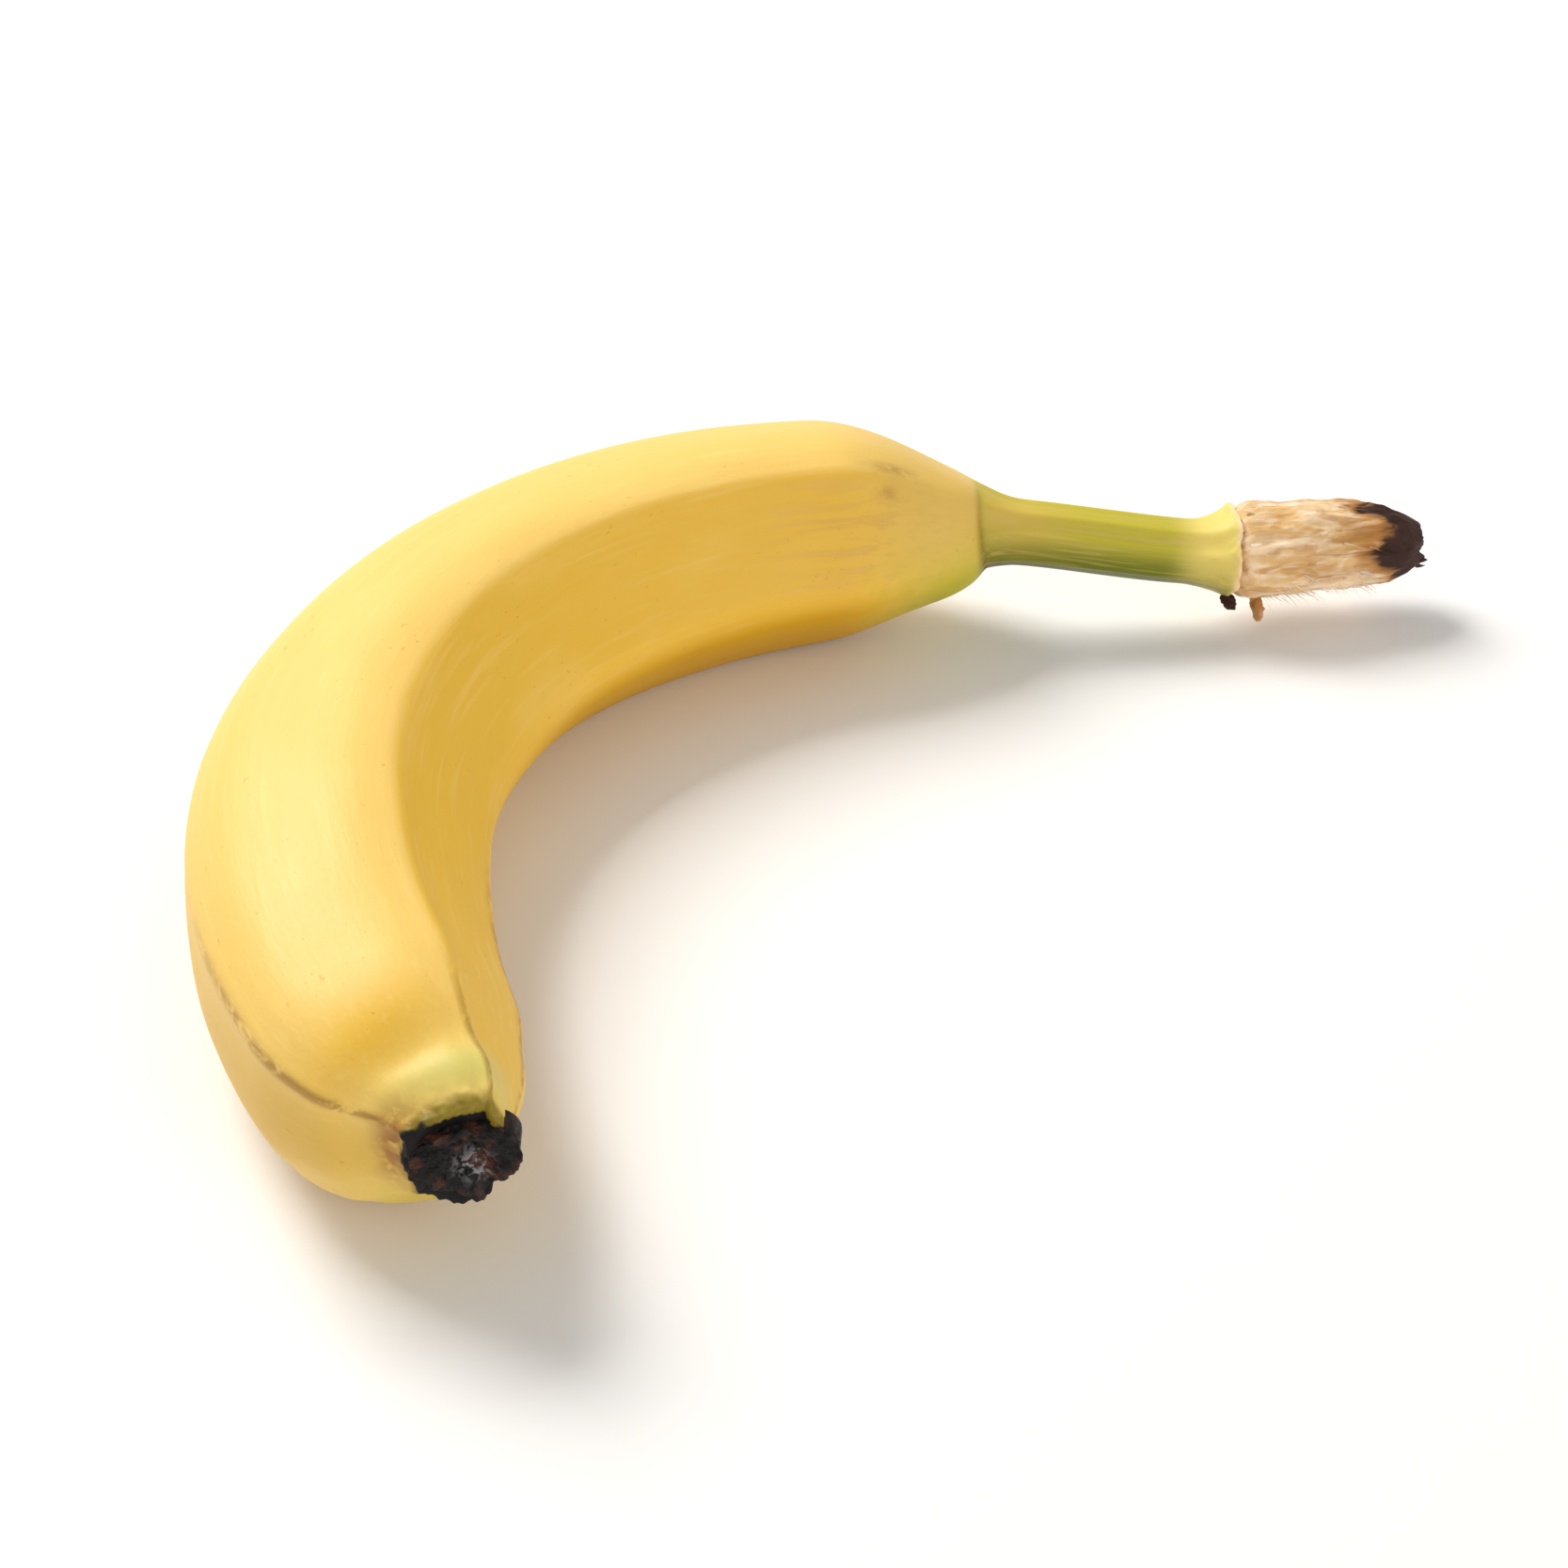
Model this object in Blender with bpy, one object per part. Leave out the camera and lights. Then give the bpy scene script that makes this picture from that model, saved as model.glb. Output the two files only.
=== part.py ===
"""One whole banana with its stem, as picked, lying on its side.

Metres, +Z up. The fruit lies along X with its stem towards +X, its back bulges towards +Y, and
it rests on the plane z = 0. The origin is under the middle of its bounding box.
"""

import math

import bmesh
import bpy
from mathutils import Vector

# Lengths along the middle of the fruit, in order from the torn end of the stem.
TORN_LENGTH = 0.031  # fibres left where the fruit was pulled off its hand
FLARE_LENGTH = 0.0065  # collar of the stem, narrowing to its slim part
STEM_LENGTH = 0.0275
NECK_LENGTH = 0.0065
SHOULDER_LENGTH = 0.0245  # stem widening into the fruit
FRONT_LENGTH = 0.1135  # shoulder to the thickest place
BACK_LENGTH = 0.0375  # thickest place to where the fruit starts to taper
TAPER_LENGTH = 0.0095
NUB_LENGTH = 0.0125

# Radii at the same places.
TORN_TIP_RADIUS = 0.0032
TORN_RADIUS = 0.0072
COLLAR_RADIUS = 0.0083
STEM_RADIUS = 0.0057
NECK_RADIUS = 0.0076
SHOULDER_RADIUS = 0.0177
FRONT_RADIUS = 0.0195
BODY_RADIUS = 0.0202
BACK_RADIUS = 0.0176
NUB_RADIUS = 0.0140
END_RADIUS = 0.0066

# Turn of the middle line over each stretch, in degrees, positive towards the inside of the curve.
TORN_TURN = -10.0
STEM_TURN = -5.5
SHOULDER_TURN = 12.0
BODY_TURN = 107.0
TAPER_TURN = 4.0
NUB_TURN = -20.0

# Heights of the middle line.
FLATTENING = 0.0020  # how far the thickest place is pressed flat where it rests
STEM_DROP = 0.0060  # torn end below the level of the body
NUB_RISE = 0.0018

# The peel's broad faces: direction round the section in degrees, with 0 at the back of the curve
# and 90 on top, and the face's distance from the middle as a share of the radius.
FACES = ((5.0, 0.930), (75.0, 0.945), (147.0, 0.885), (222.0, 0.930))
RIDGE_SHARPNESS = 16.0
STEM_ANGULARITY = 0.6  # how angular the stem's section is, with the body's at 1

SIDES = 32
RING_GAP = 0.0035

PEEL_YELLOW = (0.86, 0.62, 0.13, 1.0)
PEEL_ROUGHNESS = 0.45


def running_total(lengths):
    """Distance along the middle line at the start and after each of the lengths."""
    totals = [0.0]
    for length in lengths:
        totals.append(totals[-1] + length)
    return totals


MARKS = running_total(
    (
        TORN_LENGTH,
        FLARE_LENGTH,
        STEM_LENGTH,
        NECK_LENGTH,
        SHOULDER_LENGTH,
        FRONT_LENGTH,
        BACK_LENGTH,
        TAPER_LENGTH,
        NUB_LENGTH,
    )
)
START, COLLAR, STEM, NECK, SHOULDER_START, SHOULDER, THICKEST, TAPER, NUB, END = MARKS


def smooth(stations, along):
    """Value at a distance along, on a curve through (distance, value) stations, with no overshoot."""
    gaps = [b[0] - a[0] for a, b in zip(stations, stations[1:])]
    slopes = [(b[1] - a[1]) / gap for a, b, gap in zip(stations, stations[1:], gaps)]
    tangents = [slopes[0]]
    for before, after in zip(slopes, slopes[1:]):
        same_way = before * after > 0
        tangents.append(2 * before * after / (before + after) if same_way else 0.0)
    tangents.append(slopes[-1])
    along = min(max(along, stations[0][0]), stations[-1][0])
    index = 0
    while index < len(gaps) - 1 and along > stations[index + 1][0]:
        index += 1
    gap = gaps[index]
    t = (along - stations[index][0]) / gap
    rise = stations[index + 1][1] - stations[index][1]
    start_bend = tangents[index] * gap - rise
    end_bend = rise - tangents[index + 1] * gap
    straight = stations[index][1] + rise * t
    return straight + t * (1 - t) * (start_bend * (1 - t) + end_bend * t)


def radius_at(along):
    """Radius of the fruit's round section."""
    middle_of_torn = START + 0.5 * TORN_LENGTH
    middle_of_front = SHOULDER + 0.45 * FRONT_LENGTH
    stations = (
        (START, TORN_TIP_RADIUS),
        (middle_of_torn, TORN_RADIUS),
        (COLLAR, COLLAR_RADIUS),
        (STEM, STEM_RADIUS),
        (NECK, STEM_RADIUS),
        (SHOULDER_START, NECK_RADIUS),
        (SHOULDER, SHOULDER_RADIUS),
        (middle_of_front, FRONT_RADIUS),
        (THICKEST, BODY_RADIUS),
        (TAPER, BACK_RADIUS),
        (NUB, NUB_RADIUS),
        (END, END_RADIUS),
    )
    return smooth(stations, along)


def heading_at(along):
    """Direction of the middle line in plan, in radians, from 0 at the torn end."""
    turns = (
        (START, 0.0),
        (COLLAR, TORN_TURN),
        (SHOULDER_START, STEM_TURN),
        (SHOULDER, SHOULDER_TURN),
        (TAPER, BODY_TURN),
        (NUB, TAPER_TURN),
        (END, NUB_TURN),
    )
    stations = []
    heading = 0.0
    for place, turn in turns:
        heading += turn
        stations.append((place, heading))
    return math.radians(smooth(stations, along))


def height_at(along):
    """Height of the middle line above the surface that the fruit lies on."""
    level = BODY_RADIUS - FLATTENING
    stations = (
        (START, level - STEM_DROP),
        (COLLAR, level - 0.90 * STEM_DROP),
        (SHOULDER_START, level - 0.10 * STEM_DROP),
        (SHOULDER + 0.15 * FRONT_LENGTH, level),
        (TAPER, level),
        (END, level + NUB_RISE),
    )
    return smooth(stations, along)


def middle_line():
    """Points of the middle line, one for each ring, and the distance along it of each."""
    count = math.ceil(END / RING_GAP)
    step = END / count
    places = [step * index for index in range(count + 1)]
    x, y = 0.0, 0.0
    points = [Vector((x, y, height_at(START)))]
    for place in places[1:]:
        heading = heading_at(place - step / 2)
        x += step * math.cos(heading)
        y += step * math.sin(heading)
        points.append(Vector((x, y, height_at(place))))
    return places, points


def section_radius(angle, angularity):
    """Radius of the section, as a share of the round radius: a circle pressed flat on each face."""
    total = 1.0
    for degrees, distance in FACES:
        facing = math.cos(angle - math.radians(degrees))
        pressed = 1.0 - (1.0 - distance) * angularity
        total += max(0.0, facing / pressed) ** RIDGE_SHARPNESS
    return total ** (-1.0 / RIDGE_SHARPNESS)


def ring_at(along, centre, direction):
    """Points of one section, square to the middle line."""
    heading = heading_at(along)
    outward = Vector((math.sin(heading), -math.cos(heading), 0.0))
    upward = outward.cross(direction).normalized()
    angularity = smooth(((NECK, STEM_ANGULARITY), (SHOULDER, 1.0), (END, 1.0)), along)
    points = []
    for index in range(SIDES):
        angle = 2 * math.pi * index / SIDES
        reach = radius_at(along) * section_radius(angle, angularity)
        points.append(centre + reach * (math.cos(angle) * outward + math.sin(angle) * upward))
    return points


def make_fruit_mesh():
    """Extrudes one end face along the middle line, ring by ring."""
    places, centres = middle_line()
    bm = bmesh.new()
    bmesh.ops.create_circle(bm, cap_ends=True, segments=SIDES, radius=1.0)
    bm.verts.ensure_lookup_table()
    verts = list(bm.verts)
    face = list(bm.faces)[0]
    last = len(places) - 1
    for index, (place, centre) in enumerate(zip(places, centres)):
        direction = centres[min(index + 1, last)] - centres[max(index - 1, 0)]
        if index > 0:
            extruded = bmesh.ops.extrude_discrete_faces(bm, faces=[face])
            face = extruded["faces"][0]
            verts = [loop.vert for loop in face.loops]
        for vert, point in zip(verts, ring_at(place, centre, direction)):
            vert.co = point
    open_end = [edge for edge in bm.edges if edge.is_boundary]
    bmesh.ops.holes_fill(bm, edges=open_end, sides=SIDES)
    return bm


def lay_down(bm):
    """Turns the fruit so that its ends lie along X, presses it onto z = 0 and centres it."""
    places, centres = middle_line()
    chord = centres[0] - centres[-1]
    turn = -math.atan2(chord.y, chord.x)
    for vert in bm.verts:
        x = vert.co.x * math.cos(turn) - vert.co.y * math.sin(turn)
        y = vert.co.x * math.sin(turn) + vert.co.y * math.cos(turn)
        vert.co = Vector((x, y, max(vert.co.z, 0.0)))
    middle = [
        (min(vert.co[axis] for vert in bm.verts) + max(vert.co[axis] for vert in bm.verts)) / 2
        for axis in (0, 1)
    ]
    for vert in bm.verts:
        vert.co.x -= middle[0]
        vert.co.y -= middle[1]


def peel_material():
    """Ripe yellow peel with a satin surface."""
    material = bpy.data.materials.new("peel")
    material.use_nodes = True
    shader = material.node_tree.nodes["Principled BSDF"]
    shader.inputs["Base Color"].default_value = PEEL_YELLOW
    shader.inputs["Roughness"].default_value = PEEL_ROUGHNESS
    shader.inputs["Metallic"].default_value = 0.0
    return material


def make_banana():
    """The whole fruit, grown as one piece."""
    bm = make_fruit_mesh()
    lay_down(bm)
    bmesh.ops.recalc_face_normals(bm, faces=bm.faces)
    if bm.calc_volume(signed=True) < 0.0:
        bmesh.ops.reverse_faces(bm, faces=bm.faces)
    mesh = bpy.data.meshes.new("banana")
    bm.to_mesh(mesh)
    bm.free()
    mesh.shade_smooth()
    mesh.materials.append(peel_material())
    banana = bpy.data.objects.new("banana", mesh)
    bpy.context.scene.collection.objects.link(banana)
    return banana


def clear_scene():
    """Removes whatever objects the scene starts with."""
    for old in list(bpy.data.objects):
        bpy.data.objects.remove(old)


clear_scene()
make_banana()
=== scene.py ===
"""The looks of one whole banana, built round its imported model.

The fruit is first modelled straight, with its middle line on Z: it is extruded, subdivided and
shaped there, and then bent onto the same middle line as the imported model. Straight coordinates
are kept on each mesh, so that streaks, ridges and spots follow the peel.
"""

import math
import random

import bpy
import numpy as np
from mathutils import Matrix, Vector, noise


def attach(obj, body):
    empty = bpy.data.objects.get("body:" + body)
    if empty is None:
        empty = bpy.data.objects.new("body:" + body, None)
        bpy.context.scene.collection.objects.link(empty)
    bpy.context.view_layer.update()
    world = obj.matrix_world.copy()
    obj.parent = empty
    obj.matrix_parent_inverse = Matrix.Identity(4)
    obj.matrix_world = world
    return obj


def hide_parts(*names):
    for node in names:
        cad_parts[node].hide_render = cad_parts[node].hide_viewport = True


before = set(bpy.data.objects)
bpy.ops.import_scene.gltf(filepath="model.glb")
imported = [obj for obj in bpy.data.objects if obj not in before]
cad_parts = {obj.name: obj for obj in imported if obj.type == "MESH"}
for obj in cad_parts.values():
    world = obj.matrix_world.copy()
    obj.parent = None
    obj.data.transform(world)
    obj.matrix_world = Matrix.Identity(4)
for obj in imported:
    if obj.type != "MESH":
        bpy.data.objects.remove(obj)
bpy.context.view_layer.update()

bl_info = {
    "name": "Whole Banana",
    "version": (1, 0, 0),
    "blender": (4, 5, 0),
    "location": "View3D > Sidebar > Banana",
    "description": "Models one whole banana with its stem, with procedural materials",
    "category": "Object",
}

NODE = "banana"
BODY = "root"
MILLIMETRE = 0.001


# ---- sizes and colours


def length(name, description, default):
    """A length that a user can set."""
    return bpy.props.FloatProperty(
        name=name, description=description, default=default, unit="LENGTH"
    )


def colour_property(name, description, default):
    """A colour that a user can set."""
    return bpy.props.FloatVectorProperty(
        name=name, description=description, default=default, size=3, min=0, max=1, subtype="COLOR"
    )


class BananaSizes(bpy.types.PropertyGroup):
    """Sizes of the fruit, along its middle line from the torn end of the stem, and round it."""

    torn_length: length("Torn length", "Fibres left where it was pulled off", 0.031)
    flare_length: length("Flare length", "Collar, narrowing to the slim stem", 0.0065)
    stem_length: length("Stem length", "Slim part of the stem", 0.0275)
    neck_length: length("Neck length", "Stem next to the fruit", 0.0065)
    shoulder_length: length("Shoulder length", "Stem widening into the fruit", 0.0245)
    front_length: length("Front length", "Shoulder to the thickest place", 0.1135)
    back_length: length("Back length", "Thickest place to the taper", 0.0375)
    taper_length: length("Taper length", "Fruit narrowing to its nub", 0.0095)
    nub_length: length("Nub length", "Nub at the blossom end", 0.0125)
    torn_tip_radius: length("Torn tip radius", "Withered tip", 0.0032)
    torn_radius: length("Torn radius", "Middle of the fibres", 0.0072)
    collar_radius: length("Collar radius", "Rim of the collar", 0.0083)
    stem_radius: length("Stem radius", "Slim part of the stem", 0.0057)
    neck_radius: length("Neck radius", "Stem where it meets the fruit", 0.0076)
    shoulder_radius: length("Shoulder radius", "Fruit at its shoulder", 0.0177)
    front_radius: length("Front radius", "Fruit about halfway along its front", 0.0195)
    body_radius: length("Body radius", "Fruit at its thickest", 0.0202)
    back_radius: length("Back radius", "Start of the taper", 0.0176)
    nub_radius: length("Nub radius", "Nub where it starts", 0.0140)
    end_radius: length("End radius", "Blossom end", 0.0066)
    flattening: length("Flattening", "How far it is pressed flat where it rests", 0.0020)
    stem_drop: length("Stem drop", "Torn end below the level of the body", 0.006)
    nub_rise: length("Nub rise", "Blossom end above the level of the body", 0.0018)
    body_turn: bpy.props.FloatProperty(
        name="Body turn",
        description="Turn of the middle line over the body",
        default=math.radians(107.0),
        subtype="ANGLE",
    )


class BananaColours(bpy.types.PropertyGroup):
    """Colours of the fruit, in linear light."""

    # Ripe is the peel where it is lit; the next colour is painted shade, the same peel in a deeper
    # yellow for its inner faces and the hollow before the nub.
    ripe: colour_property("Ripe", "Peel on the sunny faces", (0.84, 0.57, 0.150))
    golden: colour_property("Golden", "Peel on the inner faces", (0.80, 0.47, 0.014))
    unripe: colour_property("Unripe", "Green tinge at both ends", (0.48, 0.43, 0.016))
    stem: colour_property("Stem", "Green stem", (0.52, 0.45, 0.035))
    # Painted shade: the darker green laid on the stem's lower side.
    stem_shade: colour_property("Stem shade", "Deep green of the stem", (0.15, 0.17, 0.002))
    bruise: colour_property("Bruise", "Scuffs and specks", (0.30, 0.13, 0.025))
    fibre: colour_property("Fibre", "Torn fibres", (0.72, 0.46, 0.20))
    # Orange-brown of the stains; also laid as painted shade in the grooves between the torn fibres,
    # and as the scraps' tint.
    fibre_deep: colour_property("Fibre deep", "Between the fibres", (0.50, 0.24, 0.055))
    withered: colour_property("Withered", "Withered tip", (0.036, 0.011, 0.006))
    blossom: colour_property("Blossom", "Dry blossom end", (0.006, 0.0045, 0.0045))
    floor: colour_property("Floor", "Pale floor", (0.88, 0.87, 0.86))


# ---- form of the fruit

# Turn of the middle line over each stretch, in degrees, positive towards the inside of the curve.
TORN_TURN = -10.0
STEM_TURN = -5.5
SHOULDER_TURN = 12.0
TAPER_TURN = 4.0
NUB_TURN = -20.0
LEAN_LENGTH = 0.012  # stretch before the blossom end over which the nub leans

# Shares of the stem's drop that are left at the collar and at the neck, and of the front's length
# where the middle line comes level and where the front's radius is reached.
COLLAR_DROP = 0.90
NECK_DROP = 0.10
LEVEL_SHARE = 0.15
FRONT_SHARE = 0.45

# Broad faces of the peel: direction round the section in degrees, with 0 at the back of the curve
# and 90 on top, and distance from the middle as a share of the radius.
FACES = ((5.0, 0.930), (75.0, 0.945), (147.0, 0.885), (222.0, 0.930))
FACE_SHARPNESS = 22.0
STEM_ANGULARITY = 0.6  # how angular the stem's section is, with the body's at 1

# Radius of the torn stump at places from its tip, and at places from the collar's rim.
STUMP_BARE = ((0.0008, 0.0034), (0.0030, 0.0046), (0.0090, 0.0061), (0.0170, 0.0069))
STUMP_INSIDE = ((-0.0016, 0.0074), (0.0010, 0.0058), (0.0040, 0.0046))
COLLAR_OPENING = 0.95  # inside of the collar as a share of its radius
DROOP = 0.0013
DROOP_LENGTH = 0.013

# The fold of the shoulder over the stem: where it lies past the neck, how much further out it
# reaches on its lowest side, and the middle and the spread of the sides that it covers.
FOLD_PAST_NECK = 0.0004
FOLD_OVERHANG = 0.0018
FOLD_LOWEST = (240, 75)
FOLD_MIDDLE = 188
FOLD_SPREAD = 78

# Spots on the fruit: the mark that each lies near, how far past it along the fruit, its length,
# its direction round the section and its spread, both in degrees.
SPOTS = {
    "crown": ("taper", 0.0085, 0.0060, 78, 50),
    "hollow": ("nub", 0.0042, 0.0026, 82, 50),
    "swell": ("end", -0.0040, 0.0026, 95, 55),
    # Painted shade in the hollow before the nub.
    "hollow_shade": ("nub", 0.0012, 0.0038, 70, 36),
    "nub_green": ("end", -0.0042, 0.0030, 98, 60),
    "neck_tan": ("fold", 0.0090, 0.0100, 105, 50),
    "stem_tan": ("fold", -0.0045, 0.0080, 120, 60),
    "fold_corner": ("fold", -0.0004, 0.0014, 220, 16),
    "fold_line": ("fold", 0.0, 0.0006, 165, 62),
    "tired": ("shoulder_start", 0.0220, 0.0160, 150, 34),
    "front_scuff": ("shoulder_start", 0.0145, 0.0035, 113, 3.5),
    "smudge": ("shoulder_start", 0.0155, 0.0016, 128, 4.0),
}

LINE_STEP = 0.0002  # gap between the worked-out points of the middle line
BOX_SIDES = 32  # points round each section that the fruit's box is taken from
BOX_STRIDE = 17


def smooth(stations, along):
    """Values at distances along a curve through (distance, value) stations, with no overshoot."""
    places = np.array([place for place, _ in stations], float)
    values = np.array([value for _, value in stations], float)
    gaps = np.diff(places)
    slopes = np.diff(values) / gaps
    tangents = np.zeros(len(places))
    tangents[0], tangents[-1] = slopes[0], slopes[-1]
    for index in range(1, len(slopes)):
        before, after = slopes[index - 1], slopes[index]
        if before * after > 0:
            tangents[index] = 2 * before * after / (before + after)
    along = np.clip(np.asarray(along, float), places[0], places[-1])
    index = np.clip(np.searchsorted(places, along, side="right") - 1, 0, len(gaps) - 1)
    gap = gaps[index]
    t = (along - places[index]) / gap
    rise = values[index + 1] - values[index]
    bend = (tangents[index] * gap - rise) * (1 - t) + (rise - tangents[index + 1] * gap) * t
    return values[index] + rise * t + t * (1 - t) * bend


def ramp(low, high, x):
    """0 below low, 1 above high, and an eased rise between them."""
    t = np.clip((x - low) / (high - low), 0, 1)
    return t * t * (3 - 2 * t)


def bump(middle, width, x):
    """1 at middle, falling off to both sides over about the width."""
    return np.exp(-(((x - middle) / width) ** 2))


def angle_from(degrees, around):
    """Angles in degrees from a direction round the section, from -180 to 180."""
    return (np.degrees(around) - degrees + 180) % 360 - 180


def side(degrees, spread, around):
    """1 in a direction round the section, falling off to both sides over the spread."""
    return bump(0, spread, angle_from(degrees, around))


class Fruit:
    """The fruit's places along its middle line, its radius, its section and its bend."""

    def __init__(self, sizes):
        self.sizes = sizes
        lengths = (
            sizes.torn_length,
            sizes.flare_length,
            sizes.stem_length,
            sizes.neck_length,
            sizes.shoulder_length,
            sizes.front_length,
            sizes.back_length,
            sizes.taper_length,
            sizes.nub_length,
        )
        marks = np.concatenate([[0.0], np.cumsum(lengths)])
        self.start, self.collar, self.slim, self.slim_end, self.shoulder_start = marks[:5]
        self.shoulder, self.thickest, self.taper, self.nub, self.end = marks[5:]
        self.lay_middle_line()

    def radius(self, along):
        """Radius of the round section."""
        sizes = self.sizes
        stations = (
            (self.start, sizes.torn_tip_radius),
            (self.start + 0.5 * sizes.torn_length, sizes.torn_radius),
            (self.collar, sizes.collar_radius),
            (self.slim, sizes.stem_radius),
            (self.slim_end, sizes.stem_radius),
            (self.shoulder_start, sizes.neck_radius),
            (self.shoulder, sizes.shoulder_radius),
            (self.shoulder + FRONT_SHARE * sizes.front_length, sizes.front_radius),
            (self.thickest, sizes.body_radius),
            (self.taper, sizes.back_radius),
            (self.nub, sizes.nub_radius),
            (self.end, sizes.end_radius),
        )
        return smooth(stations, along)

    def stump_radius(self, along):
        """Radius of the torn stump, which ends blunt and runs on inside the collar."""
        inside = ((self.collar + place, radius) for place, radius in STUMP_INSIDE)
        return smooth((*STUMP_BARE, *inside), along)

    def droop(self, along):
        """How far the withered tip hangs below the middle line."""
        return DROOP * np.clip(1 - np.asarray(along) / DROOP_LENGTH, 0, 1.2) ** 1.5

    def collar_reach(self):
        """Radius of the collar's opening."""
        return COLLAR_OPENING * self.sizes.collar_radius

    def heading(self, along):
        """Direction of the middle line in plan, from 0 at the torn end."""
        turns = (
            (self.start, 0.0),
            (self.collar, TORN_TURN),
            (self.shoulder_start, STEM_TURN),
            (self.shoulder, SHOULDER_TURN),
            (self.taper, math.degrees(self.sizes.body_turn)),
            (self.nub, TAPER_TURN),
            (self.end, NUB_TURN),
        )
        total = np.cumsum([turn for _, turn in turns])
        return np.radians(smooth(list(zip([place for place, _ in turns], total)), along))

    def height(self, along):
        """Height of the middle line above the surface that the fruit lies on."""
        sizes = self.sizes
        level = sizes.body_radius - sizes.flattening
        stations = (
            (self.start, level - sizes.stem_drop),
            (self.collar, level - COLLAR_DROP * sizes.stem_drop),
            (self.shoulder_start, level - NECK_DROP * sizes.stem_drop),
            (self.shoulder + LEVEL_SHARE * sizes.front_length, level),
            (self.taper, level),
            (self.end, level + sizes.nub_rise),
        )
        return smooth(stations, along)

    def section(self, around, angularity):
        """The section's radius as a share of the round one: a circle pressed flat on each face."""
        total = np.ones_like(around)
        for degrees, distance in FACES:
            facing = np.cos(around - math.radians(degrees))
            pressed = 1.0 - (1.0 - distance) * angularity
            total += np.maximum(0.0, facing / pressed) ** FACE_SHARPNESS
        return total ** (-1.0 / FACE_SHARPNESS)

    def angularity(self, along):
        """How angular the section is: less on the stem than on the body."""
        stations = ((self.slim_end, STEM_ANGULARITY), (self.shoulder, 1.0), (self.end, 1.0))
        return smooth(stations, along)

    def lean(self, along):
        """How far the nub's end leans inwards and upwards, from 0 to 1."""
        return ramp(self.end - LEAN_LENGTH, self.end, along)

    def fold(self, around):
        """Place where the shoulder ends in a fold over the stem, furthest out underneath."""
        overhang = FOLD_OVERHANG * side(*FOLD_LOWEST, around)
        return self.shoulder_start + FOLD_PAST_NECK - overhang

    def fold_side(self, around):
        """How strongly the shoulder folds over the stem: fully on its inner and lower sides."""
        return np.exp(-((angle_from(FOLD_MIDDLE, around) / FOLD_SPREAD) ** 4))

    def spot(self, name, along, around):
        """1 at one of the SPOTS, falling off all round it."""
        mark, past, length, degrees, spread = SPOTS[name]
        place = self.fold(around) if mark == "fold" else getattr(self, mark)
        return bump(place + past, length, along) * side(degrees, spread, around)

    def lay_middle_line(self):
        """Works out the middle line, with its ends along X and the fruit's box centred."""
        count = int(math.ceil(self.end / LINE_STEP))
        places = np.linspace(0.0, self.end, count + 1)
        step = places[1]
        headings = self.heading(places[1:] - step / 2)
        x = np.concatenate([[0.0], np.cumsum(step * np.cos(headings))])
        y = np.concatenate([[0.0], np.cumsum(step * np.sin(headings))])
        turn = -math.atan2(y[0] - y[-1], x[0] - x[-1])
        cos, sin = math.cos(turn), math.sin(turn)
        self.places = places
        self.line = np.stack([x * cos - y * sin, x * sin + y * cos, self.height(places)], axis=1)
        heading = self.heading(places) + turn
        self.outward = np.stack([np.sin(heading), -np.cos(heading), 0 * heading], axis=1)
        tangent = np.gradient(self.line, axis=0)
        self.tangent = tangent / np.linalg.norm(tangent, axis=1)[:, None]
        self.upward = np.cross(self.outward, self.tangent)
        around = np.linspace(0, 2 * math.pi, BOX_SIDES + 1)[None, :-1]
        along = places[::BOX_STRIDE, None]
        reach = self.radius(along) * self.section(around + 0 * along, self.angularity(along))
        plain = self.bend(along + 0 * around, reach * np.cos(around), reach * np.sin(around))
        middle = (plain.reshape(-1, 3).min(0) + plain.reshape(-1, 3).max(0)) / 2
        self.line[:, :2] -= middle[:2]

    def bend(self, along, outward, upward):
        """Points of the bent fruit, from distances along, outwards of and above the middle line."""
        shape = np.shape(along)
        flat = np.ravel(along)
        inside = np.clip(flat, 0.0, self.end)

        def at(table):
            return np.stack([np.interp(inside, self.places, table[:, k]) for k in range(3)], axis=1)

        points = at(self.line)
        points += at(self.outward) * np.ravel(outward)[:, None]
        points += at(self.upward) * np.ravel(upward)[:, None]
        points += at(self.tangent) * (flat - inside)[:, None]
        return points.reshape(*shape, 3)


# ---- mesh tools

NOISE_FALLOFF = 0.9
NOISE_FINENESS = 2.1  # how much finer each octave of the noise is


def deselect_all():
    """Leaves nothing selected and object mode on."""
    if bpy.context.mode != "OBJECT":
        bpy.ops.object.mode_set(mode="OBJECT")
    bpy.ops.object.select_all(action="DESELECT")


def select_only(piece):
    """Leaves this piece alone selected and active, in object mode."""
    deselect_all()
    piece.select_set(True)
    bpy.context.view_layer.objects.active = piece


def coordinates(mesh):
    """The mesh's points as an array."""
    co = np.empty(len(mesh.vertices) * 3)
    mesh.vertices.foreach_get("co", co)
    return co.reshape(-1, 3)


def set_coordinates(mesh, co):
    """Moves the mesh's points."""
    mesh.vertices.foreach_set("co", np.ascontiguousarray(co, dtype=np.float32).ravel())
    mesh.update()


def add_number(mesh, name, values):
    """Keeps a number on each point, for the material."""
    attribute = mesh.attributes.new(name, "FLOAT", "POINT")
    attribute.data.foreach_set("value", np.ascontiguousarray(values, dtype=np.float32))


def add_vector(mesh, name, values):
    """Keeps a vector on each point, for the material."""
    attribute = mesh.attributes.new(name, "FLOAT_VECTOR", "POINT")
    attribute.data.foreach_set("vector", np.ascontiguousarray(values, dtype=np.float32).ravel())


def apply_subdivision(piece, levels):
    """Subdivides the piece smoothly, for good."""
    modifier = piece.modifiers.new("Smooth", "SUBSURF")
    modifier.levels = levels
    modifier.render_levels = levels
    select_only(piece)
    bpy.ops.object.modifier_apply(modifier=modifier.name)


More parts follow.
